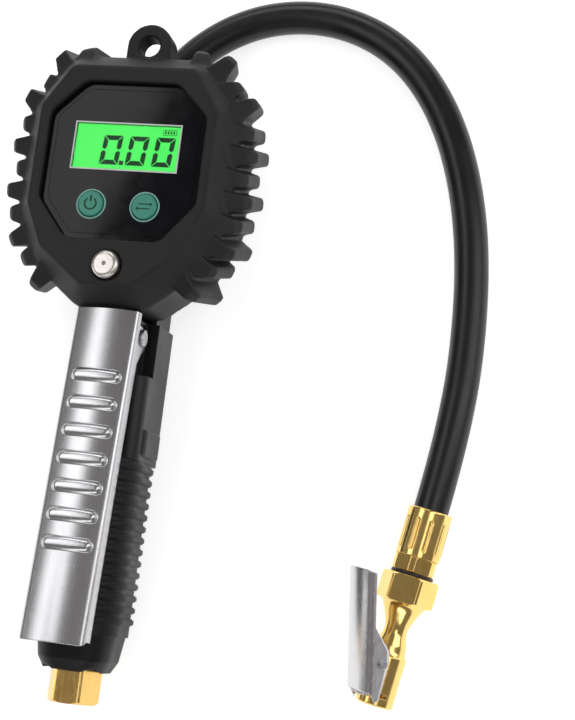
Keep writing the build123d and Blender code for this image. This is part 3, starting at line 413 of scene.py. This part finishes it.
satin = {
    "color": (0.005, 0.005, 0.0053), "roughness": 0.36, "specular": 0.45,
    "darker": (0.0045, 0.0045, 0.0048), "paler": (0.008, 0.008, 0.0083),
    "grain": {"Scale": 1500.0, "Patch_Scale": 70.0}, "rough": (0.3, 0.7, 0.28, 0.4),
    "bump": 0.3, "bumpDepth": 0.0002,
}


def hoseMaterial():  # satin black rubber with a fine grain
    material, tree, shader = newMaterial("hose rubber", satin["color"], satin["roughness"])
    shader.inputs["Specular IOR Level"].default_value = satin["specular"]
    grain = placeGroup(tree, grainGroup, **satin["grain"])
    color = mixColors(tree, grain.outputs["Patches"], satin["darker"], satin["paler"])
    tree.links.new(color, shader.inputs["Base Color"])
    tree.links.new(addRange(tree, grain.outputs["Patches"], *satin["rough"]), shader.inputs["Roughness"])
    addBump(tree, shader, grain.outputs["Height"], satin["bump"], satin["bumpDepth"])
    return material


glossPanel = glossPanelMaterial()
displayGreen = displayMaterial()
windowClear = windowMaterial()
keyTeal = keyMaterial()
whiteInk = inkMaterial("white ink", (0.75, 0.78, 0.77), 0.4)
paleInk = inkMaterial("pale teal ink", (0.22, 0.5, 0.43), 0.4)
darkInk = inkMaterial("segment ink", (0.003, 0.06, 0.014), 0.7)
hoseRubber = hoseMaterial()
print("materials made")

finishes = {
    "boot": rubberBoot, "front_housing": glossPanel, "rear_housing": blackMoulding,
    "battery_door": blackMoulding, "face_panel": glossPanel, "lcd_window": windowClear,
    "lcd_panel": displayGreen, "lcd_backlight": whiteDiffuser, "power_button": keyTeal,
    "units_button": keyTeal, "tact_switches": chipPlastic, "board_chips": chipPlastic,
    "circuit_board": greenBoard, "pressure_sensor": zincSteel, "sensor_seal": blackSeal,
    "aaa_batteries": cellSleeve, "battery_contacts": zincSteel, "battery_door_screw": zincSteel,
    "housing_screws": zincSteel, "head_screws": zincSteel, "bleed_button": nickelButton,
    "bleed_stem": goldBrass, "bleed_spring": zincSteel, "bleed_seal": blackSeal, "bleed_bush": goldBrass,
    "valve_body": blackMoulding, "grip_sleeve": gripRubber, "inlet_nut": goldBrass,
    "inlet_screen": zincSteel, "lever": leverChrome, "lever_pin": zincSteel, "valve_plunger": goldBrass,
    "valve_disc": blackSeal, "plunger_seal": blackSeal, "plunger_bush": goldBrass,
    "plunger_spring": zincSteel, "passage_plugs": zincSteel, "ferrule_head": yellowBrass,
    "hose_fitting_head": yellowBrass, "ferrule_chuck": yellowBrass, "hose_fitting_chuck": yellowBrass,
    "chuck_ring_seal": blackSeal, "chuck_body": yellowBrass, "chuck_seal": blackSeal,
    "chuck_depressor": goldBrass, "chuck_clip": clipSteel, "chuck_pin": zincSteel,
    "chuck_spring": zincSteel,
}
for node, material in finishes.items():
    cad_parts[node].material_slots[0].material = material
print("finishes on", len(finishes), "pieces")

# ---- camera, floor and light

view = {
    "place": (178.9, -85.8, 533.6), "turn": (11.15, 11.43, 6.86), "lens": 74.5, "sensor": 36.0,
    "near": 0.01,  # metres
}


def makeCamera():
    data = bpy.data.cameras.new("camera")
    data.lens = view["lens"]
    data.sensor_width = view["sensor"]
    data.clip_start = view["near"]
    camera = bpy.data.objects.new("camera", data)
    camera.location = [value * mm for value in view["place"]]
    camera.rotation_euler = [math.radians(value) for value in view["turn"]]
    bpy.context.scene.collection.objects.link(camera)
    bpy.context.scene.camera = camera


studio = {
    "floor": (0.82, 0.82, 0.83), "floorPatch": 0.985, "floorRoughness": 0.6, "floorGlow": 0.68,
    "floorGrain": {"Scale": 200.0, "Patch_Scale": 2.0},
    "floorSize": 3.0, "floorDrop": -0.0002,  # metres
    "worldColor": (1.0, 0.94, 0.9), "worldStrength": 0.2,
    "lamps": [  # place, aim, width, height (all mm) and watts
        ((-262, 72, 462), (0, -20, 40), 520, 125, 0.42),
        ((-150, 32, 480), (0, 32, 40), 215, 85, 0.118),
        ((262, -75, 475), (105, -80, 20), 220, 150, 0.2),
        ((470, 120, 330), (40, 40, 20), 260, 460, 0.75),
        ((60, -540, 360), (40, -30, 10), 520, 160, 0.6),
        ((-60, 590, 330), (0, 0, 30), 560, 160, 0.9),
        ((-430, -110, 90), (60, -70, 20), 300, 120, 0.18),
    ],
}


def makeFloor():
    material, tree, shader = newMaterial("floor paint", studio["floor"], studio["floorRoughness"])
    grain = placeGroup(tree, grainGroup, **studio["floorGrain"])
    darker = tuple(channel * studio["floorPatch"] for channel in studio["floor"])
    color = mixColors(tree, grain.outputs["Patches"], studio["floor"], darker)
    tree.links.new(color, shader.inputs["Base Color"])
    shader.inputs["Emission Color"].default_value = (1.0, 1.0, 1.0, 1.0)
    shader.inputs["Emission Strength"].default_value = studio["floorGlow"]
    shape = bmesh.new()
    bmesh.ops.create_grid(shape, x_segments=1, y_segments=1, size=studio["floorSize"])
    floor = newPiece("floor", shape, material)
    floor.location = (0, 0, studio["floorDrop"])


def makeLamps():
    world = bpy.data.worlds.new("studio")
    world.use_nodes = True
    sky = world.node_tree.nodes["Background"]
    sky.inputs["Color"].default_value = (*studio["worldColor"], 1.0)
    sky.inputs["Strength"].default_value = studio["worldStrength"]
    bpy.context.scene.world = world
    for number, (place, aim, width, height, watts) in enumerate(studio["lamps"]):
        data = bpy.data.lights.new(f"softbox{number}", "AREA")
        data.shape = "RECTANGLE"
        data.size, data.size_y = width * mm, height * mm
        data.energy = watts
        lamp = bpy.data.objects.new(f"softbox{number}", data)
        lamp.location = Vector(place) * mm
        lamp.rotation_euler = (Vector(aim) - Vector(place)).to_track_quat("-Z", "Y").to_euler()
        bpy.context.scene.collection.objects.link(lamp)


makeCamera()
makeFloor()
makeLamps()
bpy.context.scene.view_settings.view_transform = "Standard"
print("studio ready")

# ---- lever and boot

lever = {
    "pivot": (0.0, 6.0, 31.0), "open": 5.2, "top": 9.0, "width": 24.0, "crown": 2.0, "corner": 2.2,
    "upper": 7.8, "lower": -110.7, "flange": 1.4, "sheet": 1.5, "endRound": 1.6, "endLength": 12.0,
    "ear": 5.6, "earFrom": -5.0, "earLow": -2.52, "earSlope": 0.75, "notch": (3.3, 4.6),  # round the pin
    "lip": 16, "lipRise": 0.08, "cornerSteps": 6,
    "ribs": 7, "firstRib": 25.0, "ribPitch": 10.0, "ribWidth": 18.8, "ribDepth": 5.0, "ribHeight": 0.9,
    "ribLevel": 0.6,  # 1 makes the top of a rib level across, 0 lets it follow the crown
    "ribFlat": 2.8, "ribSoft": 1.25,  # flatness of a rib's top and softness of its foot
    "rows": 600, "across": 120, "side": 6,
}


def ribRise(x, y):  # height that the finger ribs add to the lever's crown
    half = lever["ribDepth"] / 2
    for k in range(lever["ribs"]):
        away = y - (lever["upper"] - lever["firstRib"] - lever["ribPitch"] * k)
        if abs(away) > half:
            continue
        beyond = max(0.0, abs(x) - (lever["ribWidth"] / 2 - half))
        distance = math.hypot(beyond, away) / half
        if distance < 1.0:
            top = lever["ribHeight"] + lever["ribLevel"] * lever["crown"] * (2 * x / lever["width"]) ** 2
            return top * (1.0 - distance ** lever["ribFlat"]) ** lever["ribSoft"]
    return 0.0


def flangeBottom(y):  # lower edge of the side flange, which swells into the ear round the pin
    notchY, notchZ = lever["notch"]
    if y > notchY:
        return notchZ
    if y > lever["earFrom"]:
        return -math.sqrt(lever["ear"] ** 2 - y ** 2)
    return min(lever["flange"], lever["earLow"] + (lever["earFrom"] - y) * lever["earSlope"])


def leverSection(y):  # points across the lever at one place along it
    half, corner, steps = lever["width"] / 2, lever["corner"], lever["cornerSteps"]
    flat = half - corner
    points = []
    for k in range(lever["across"] + 1):
        x = -flat + 2 * flat * k / lever["across"]
        points.append((x, lever["top"] - lever["crown"] * (x / half) ** 2 + ribRise(x, y)))
    shoulder = lever["top"] - lever["crown"] * (flat / half) ** 2
    right = []
    for k in range(1, steps + 1):
        turn = math.radians(90 - (90 - lever["lip"]) * k / steps - lever["lip"])
        z = shoulder - corner + corner * math.sin(turn) + lever["lipRise"]
        right.append((flat + corner * math.cos(turn), z))
    low, start = flangeBottom(y), right[-1][1]
    right += [(half, start + (low - start) * k / lever["side"]) for k in range(1, lever["side"] + 1)]
    left = [(-x, z) for x, z in reversed(right)]
    return left + points + right


def leverPlace(x, y, z):  # from the lever's own frame to the object's, with rounded corners at the free end
    half, turn, radius = lever["width"] / 2, math.radians(lever["open"]), lever["endRound"]
    over = max(0.0, abs(x) - (half - radius))
    inset = radius - math.sqrt(max(0.0, radius ** 2 - over ** 2))
    y += inset * max(0.0, 1.0 - (y - lever["lower"]) / lever["endLength"])
    px, py, pz = lever["pivot"]
    placeY = py + y * math.cos(turn) + z * math.sin(turn)
    placeZ = pz - y * math.sin(turn) + z * math.cos(turn)
    return Vector((x + px, placeY, placeZ)) * mm


def makeLever():
    rows = lever["rows"]
    shape = bmesh.new()
    grid = []
    for row in range(rows + 1):
        y = lever["lower"] + (lever["upper"] - lever["lower"]) * row / rows
        grid.append([shape.verts.new(leverPlace(x, y, z)) for x, z in leverSection(y)])
    for near, far in zip(grid, grid[1:]):
        for k in range(len(near) - 1):
            face = shape.faces.new((near[k], near[k + 1], far[k + 1], far[k]))
            face.smooth = True
    piece = newPiece("squeeze_lever", shape, leverChrome)
    thicken(piece, lever["sheet"])
    standFor(piece, "lever", "lever_arm")


soft = {"voxel": 0.55, "factor": 0.5, "passes": 6}


def softenBoot():  # moulded rubber has no sharp edge
    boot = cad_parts["boot"]
    remesh = boot.modifiers.new("even mesh", "REMESH")
    remesh.mode = "VOXEL"
    remesh.voxel_size = soft["voxel"] * mm
    remesh.use_smooth_shade = True
    soften = boot.modifiers.new("soft edges", "SMOOTH")
    soften.factor = soft["factor"]
    soften.iterations = soft["passes"]


makeLever()
softenBoot()
print("lever and boot made")

# ---- thumb clip of the chuck

clip = {
    "hose": (118.9, -43.4, 9.1), "turn": 10.8, "roll": 47.0,  # hose's end, its heading, the clip's own turn
    "pin": 55.4, "mouth": 69.9, "out": 12.9, "slope": 19.3, "reach": 29.0, "end": 3.5,
    "width": 13.0, "crown": 1.0, "sink": 0.4, "corner": 1.6, "cheek": 3.0, "cheekFrom": 11.3, "sheet": 0.9,
    "shoulder": 78, "cornerSteps": 5, "least": 0.05,  # least height of a cheek
    "tip": 6.6, "round": [(-4.8, -1.2), (-1.8, -2.5)],  # cheek's edge by the pin: along and out from the tip
    "foot": [(-2.2, -2.8), (-0.6, -0.6)],  # and by the mouth
    "jaw": (4.4, 6.0), "jawBack": 0.04, "rows": 130, "footRows": 8, "across": 28, "side": 8,
}


def clipPlace(out, across, along):  # from the clip's own frame to the object's
    turn, roll = math.radians(clip["turn"]), math.radians(clip["roll"])
    sideways = -out * math.cos(roll) + across * math.sin(roll)
    up = out * math.sin(roll) + across * math.cos(roll)
    x = clip["hose"][0] + sideways * math.cos(turn) - along * math.sin(turn)
    y = clip["hose"][1] - sideways * math.sin(turn) - along * math.cos(turn)
    return Vector((x, y, clip["hose"][2] + up)) * mm


def clipOut(along):  # the back's distance from the chuck's axis
    return clip["out"] - (along - clip["pin"]) * math.tan(math.radians(clip["slope"]))


def cheekBottom(along):  # lower edge of the cheek: narrow by the thumb, deep round the pin
    corners = [(place, clipOut(place) - clip["cheek"]) for place in (
        clip["pin"] - clip["reach"], clip["pin"] - clip["cheekFrom"])]
    corners += [(clip["pin"] + ahead, clip["tip"] + above) for ahead, above in clip["round"]]
    corners += [(clip["mouth"] + ahead, clip["tip"] + above) for ahead, above in clip["foot"]]
    for (a0, b0), (a1, b1) in zip(corners, corners[1:]):
        if along <= a1:
            return b0 + (b1 - b0) * (along - a0) / (a1 - a0)
    return corners[-1][1]


def clipSection(along, last):  # points across the clip at one place along it
    half, corner, steps = clip["width"] / 2, clip["corner"], clip["cornerSteps"]
    flat, steep = half - corner, clip["shoulder"]
    edge = clipOut(min(along, last))
    if along > last:  # past the back only the cheeks go on, cut down towards the mouth
        footAlong, footOut = clip["foot"][-1]
        edge += (clip["tip"] + footOut - edge) * (along - last) / (clip["mouth"] + footAlong - last)
    back = [flat * (2 * k / clip["across"] - 1) for k in range(clip["across"] + 1)]
    back = [(edge + clip["crown"] * (1 - (y / half) ** 2) - clip["sink"], y) for y in back]
    shoulder, side = back[-1][0], []
    for k in range(1, steps + 1):
        angle = math.radians(steep - steep * k / steps)
        drop = corner - corner * math.sin(angle) / math.sin(math.radians(steep))
        side.append((shoulder - drop, flat + corner * math.cos(angle)))
    high = side[-1][0]
    low = min(cheekBottom(along), high - clip["least"])
    side += [(high + (low - high) * k / clip["side"], half) for k in range(1, clip["side"] + 1)]
    return [(out, -y) for out, y in reversed(side)] + back + side


def makeClip():
    first, last = clip["pin"] - clip["reach"], clip["mouth"] - clip["end"]
    rows, footRows, cheek = clip["rows"], clip["footRows"], clip["side"]
    footLength = clip["mouth"] + clip["foot"][-1][0] - last
    alongs = [first + (last - first) * row / rows for row in range(rows + 1)]
    alongs += [last + footLength * k / footRows for k in range(1, footRows + 1)]
    shape = bmesh.new()
    grid = []
    for along in alongs:
        grid.append([shape.verts.new(clipPlace(out, y, along)) for out, y in clipSection(along, last)])
    for row, (near, far) in enumerate(zip(grid, grid[1:])):
        for k in range(len(near) - 1):
            if row >= rows and cheek <= k < len(near) - 1 - cheek:
                continue
            shape.faces.new((near[k], far[k], far[k + 1], near[k + 1]))
    inner, wide = clip["jaw"]
    outline = boxOutline(inner, -wide / 2, clipOut(last), wide / 2)
    shape.faces.new([shape.verts.new(clipPlace(out, y, last - clip["jawBack"])) for out, y in outline])
    for face in shape.faces:
        face.smooth = True
    piece = newPiece("thumb_clip", shape, clipSteel)
    thicken(piece, clip["sheet"])
    standFor(piece, "chuck_clip", "clip")
    return piece


thumbClip = makeClip()
print("clip made")

# ---- hose

hose = {
    "diameter": 12.5, "clear": 0.05, "around": 12, "along": 24, "length": 0.329,  # the length in metres
    "route": [  # from the gauge to the chuck, about the gauge centre
        (-6.0, 6.0, 8.3), (-6.0, 35.0, 8.3), (8.5, 61.0, 6.3), (33.5, 76.0, 6.3), (63.0, 77.5, 6.3),
        (90.0, 65.5, 6.3), (109.5, 41.0, 6.3), (121.5, 7.0, 6.3), (126.0, -31.5, 6.3),
        (124.9, -75.5, 9.1), (118.3, -109.8, 9.1),
    ],
}


def makeHose():
    curve = bpy.data.curves.new("air_hose", "CURVE")
    curve.dimensions = "3D"
    curve.bevel_depth = hose["diameter"] / 2 * mm
    curve.bevel_resolution = hose["around"]
    curve.resolution_u = hose["along"]
    curve.use_fill_caps = True
    line = curve.splines.new("NURBS")
    line.points.add(len(hose["route"]) - 1)
    lowest = hose["diameter"] / 2 + hose["clear"]
    for point, (x, y, z) in zip(line.points, hose["route"]):
        point.co = (x * mm, (y + gaugeY) * mm, max(z, lowest) * mm, 1.0)
    line.order_u = 3
    line.use_endpoint_u = True
    line.use_smooth = True
    tube = bpy.data.objects.new("air_hose", curve)
    curve.materials.append(hoseRubber)
    bpy.context.scene.collection.objects.link(tube)
    standFor(tube, "hose", "base")
    x, y, z = hose["route"][0]


makeHose()
print("hose laid")

# ---- what the display and the panel show

display = {
    "face": 41.93, "thickness": 0.04, "above": 9.8,
    "digitW": 7.2, "digitH": 11.0, "stroke": 1.75, "slant": 0.09, "gap": 0.2,
    "digitX": (-9.9, 0.0, 9.9), "digitY": -6.6, "dot": (-2.2, -6.6, 1.6),
    "sign": (13.6, 5.4), "cell": (0.0, 0.4, 0.6, 1.5), "cellSteps": (0.0, 1.05, 2.1, 3.15),  # battery sign
    "case": [(-0.6, -0.1, 4.5, 0.08), (-0.6, 1.82, 4.5, 2.0), (-0.6, 0.1, -0.42, 1.8), (4.3, 0.1, 4.5, 1.8)],
}
lcdY = display["above"] + gaugeY


def flatPiece(name, outlines, low, high, material, body):  # thin printed shapes on a flat face
    shape = bmesh.new()
    for outline in outlines:
        under = [shape.verts.new((x * mm, y * mm, low * mm)) for x, y in outline]
        over = [shape.verts.new((x * mm, y * mm, high * mm)) for x, y in outline]
        shape.faces.new(under)
        shape.faces.new(over)
        for k in range(len(outline)):
            shape.faces.new((under[k - 1], under[k], over[k], over[k - 1]))
    bmesh.ops.recalc_face_normals(shape, faces=shape.faces)
    piece = newPiece(name, shape, material)
    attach(piece, body)


def segmentOutlines(x, y):  # the six lit bars of a zero, mitred where they meet
    w, h, t, g = display["digitW"], display["digitH"], display["stroke"], display["gap"]
    half = h / 2
    low, high = half - t / 2, half + t / 2
    bars = [
        [(g, 0), (w - g, 0), (w - t - g, t), (t + g, t)],
        [(g, h), (t + g, h - t), (w - t - g, h - t), (w - g, h)],
        [(0, g), (t, t + g), (t, low - g / 2), (t / 2, half - g), (0, low)],
        [(0, h - g), (0, high), (t / 2, half + g), (t, high + g / 2), (t, h - t - g)],
        [(w, g), (w, low), (w - t / 2, half - g), (w - t, low - g / 2), (w - t, t + g)],
        [(w, h - g), (w - t, h - t - g), (w - t, high + g / 2), (w - t / 2, half + g), (w, high)],
    ]
    return [[(x + px + py * display["slant"], y + py) for px, py in bar] for bar in bars]


def arcPoints(x, y, radius, start, end, steps):
    angles = [math.radians(start + (end - start) * k / steps) for k in range(steps + 1)]
    return [(x + radius * math.cos(a), y + radius * math.sin(a)) for a in angles]


def ringParts(x, y, inner, outer, start, end, pieces):  # a ring as short wedges, each one a simple face
    step = (end - start) / pieces
    parts = []
    for k in range(pieces):
        a, b = start + k * step, start + (k + 1) * step
        parts.append(arcPoints(x, y, outer, a, b, 1) + arcPoints(x, y, inner, b, a, 1))
    return parts


def makeDisplay():
    outlines = []
    for x in display["digitX"]:
        outlines += segmentOutlines(x, display["digitY"] + lcdY)
    dotX, dotY, dot = display["dot"]
    outlines.append(boxOutline(dotX, dotY + lcdY, dotX + dot, dotY + lcdY + dot))
    signX, signY = display["sign"][0], display["sign"][1] + lcdY
    x0, y0, x1, y1 = display["cell"]
    boxes = [(x0 + step, y0, x1 + step, y1) for step in display["cellSteps"]] + display["case"]
    outlines += [boxOutline(signX + a, signY + b, signX + c, signY + d) for a, b, c, d in boxes]
    low = display["face"]
    flatPiece("display_segments", outlines, low, low + display["thickness"], darkInk, "base")


panel = {
    "low": 43.002, "ink": 0.06, "frameIn": 19.75, "frameH": 8.55, "frame": 0.5,
    "keyX": 10.1, "keyY": -12.2 + gaugeY, "ring": (5.02, 5.6), "ringSteps": 48,
}


def makePanelPrint():
    w, h, t = panel["frameIn"], panel["frameH"], panel["frame"]
    low, high = panel["low"], panel["low"] + panel["ink"]
    frameBars = [
        boxOutline(-w - t, lcdY + h, w + t, lcdY + h + t),
        boxOutline(-w - t, lcdY - h - t, w + t, lcdY - h),
        boxOutline(-w - t, lcdY - h, -w, lcdY + h),
        boxOutline(w, lcdY - h, w + t, lcdY + h),
    ]
    flatPiece("display_border", frameBars, low, high, whiteInk, "base")
    rings = []
    for side in (-1, 1):
        rings += ringParts(side * panel["keyX"], panel["keyY"], *panel["ring"], 0, 360, panel["ringSteps"])
    flatPiece("key_rings", rings, low, high, paleInk, "base")


keyMarks = {
    "low": 43.902, "high": 43.95,
    "arc": (1.85, 2.45, 125, 415, 26), "bar": (-0.32, 0.7, 0.32, 3.0),  # power sign
    "arrow": 2.2, "point": 3.1, "half": 0.2, "barb": 0.75, "apart": 0.85,  # two arrows
}


def makeKeyPrint():
    low, high = keyMarks["low"], keyMarks["high"]
    x, y = -panel["keyX"], panel["keyY"]
    x0, y0, x1, y1 = keyMarks["bar"]
    power = ringParts(x, y, *keyMarks["arc"]) + [boxOutline(x + x0, y + y0, x + x1, y + y1)]
    flatPiece("power_mark", power, low, high, darkInk, "power_key")
    x, reach, half, barb = panel["keyX"], keyMarks["arrow"], keyMarks["half"], keyMarks["barb"]
    arrows = []
    for side in (-1, 1):
        line, neck, point = y + keyMarks["apart"] * side, x + side * reach, x + side * keyMarks["point"]
        arrows.append(boxOutline(x - reach, line - half, x + reach, line + half))
        arrows.append([(neck, line - barb), (point, line), (neck, line + barb)])
    flatPiece("units_mark", arrows, low, high, darkInk, "units_key")


makeDisplay()
makePanelPrint()
makeKeyPrint()
print("display and print made")
